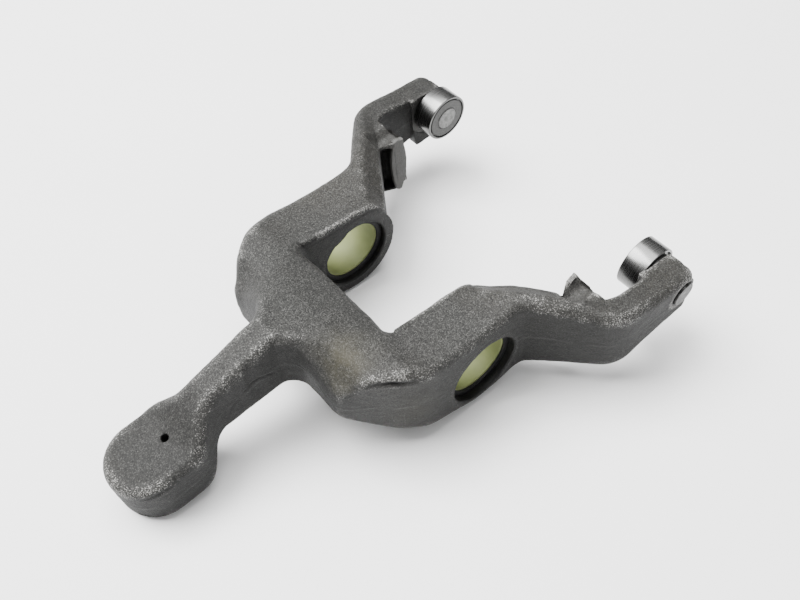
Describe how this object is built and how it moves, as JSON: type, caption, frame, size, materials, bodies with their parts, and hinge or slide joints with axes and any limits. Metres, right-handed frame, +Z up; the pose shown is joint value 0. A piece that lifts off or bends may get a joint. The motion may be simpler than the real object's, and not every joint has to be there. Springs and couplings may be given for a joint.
{
  "type": "clutch release fork",
  "caption": "Forged two-armed clutch release fork: push-rod lever and pad, cross beam, bushed pivot bores with seals, inward guide tabs and a pinned needle roller at each arm end.",
  "frame": {"origin": "on the common axis of the two pivot bores, midway between the arms", "axes": "+X from the lever towards the rollers, +Y along the pivot axis towards the left arm, +Z up with the fork lying on its pad and bore sections"},
  "size_m": [0.3495, 0.254, 0.0834],
  "materials": {
    "forged_body": "shot-blasted forging skin, bright on worn edges",
    "bush_plastic": "smooth cream plastic",
    "seal_rubber": "matt black",
    "pin_steel": "turned, peened ends",
    "ring_steel": "ground and polished",
    "needle_steel": "ground",
    "washer_steel": "dark phosphated"
  },
  "bodies": {
    "fork": {"fork_body": "forged_body", "pivot_bush_left": "bush_plastic", "pivot_bush_right": "bush_plastic", "bore_seal_inner_left": "seal_rubber", "bore_seal_inner_right": "seal_rubber", "bore_seal_outer_left": "seal_rubber", "bore_seal_outer_right": "seal_rubber", "roller_pin_left": "pin_steel", "roller_pin_right": "pin_steel", "roller_end_washer_left": "washer_steel", "roller_end_washer_right": "washer_steel", "roller_thrust_washer_left": "washer_steel", "roller_thrust_washer_right": "washer_steel"},
    "roller_left": {"roller_ring_left": "ring_steel"},
    "roller_right": {"roller_ring_right": "ring_steel"},
    "needles_left": {"roller_needles_left": "needle_steel"},
    "needles_right": {"roller_needles_right": "needle_steel"}
  },
  "joints": [
    {"name": "roller_left_spin", "type": "hinge", "parent": "fork", "child": "roller_left", "pos_m": [0.12237, 0.0956, 0.02276], "axis": [0, 1, 0], "continuous": true},
    {"name": "roller_right_spin", "type": "hinge", "parent": "fork", "child": "roller_right", "pos_m": [0.12237, -0.0956, 0.02276], "axis": [0, 1, 0], "continuous": true},
    {"name": "needles_left_orbit", "type": "hinge", "parent": "fork", "child": "needles_left", "pos_m": [0.12237, 0.0956, 0.02276], "axis": [0, 1, 0], "continuous": true},
    {"name": "needles_right_orbit", "type": "hinge", "parent": "fork", "child": "needles_right", "pos_m": [0.12237, -0.0956, 0.02276], "axis": [0, 1, 0], "continuous": true}
  ],
  "couplings": [
    {"joint": "needles_left_orbit", "follows": "roller_left_spin", "ratio": 0.576},
    {"joint": "needles_right_orbit", "follows": "roller_right_spin", "ratio": 0.576}
  ]
}
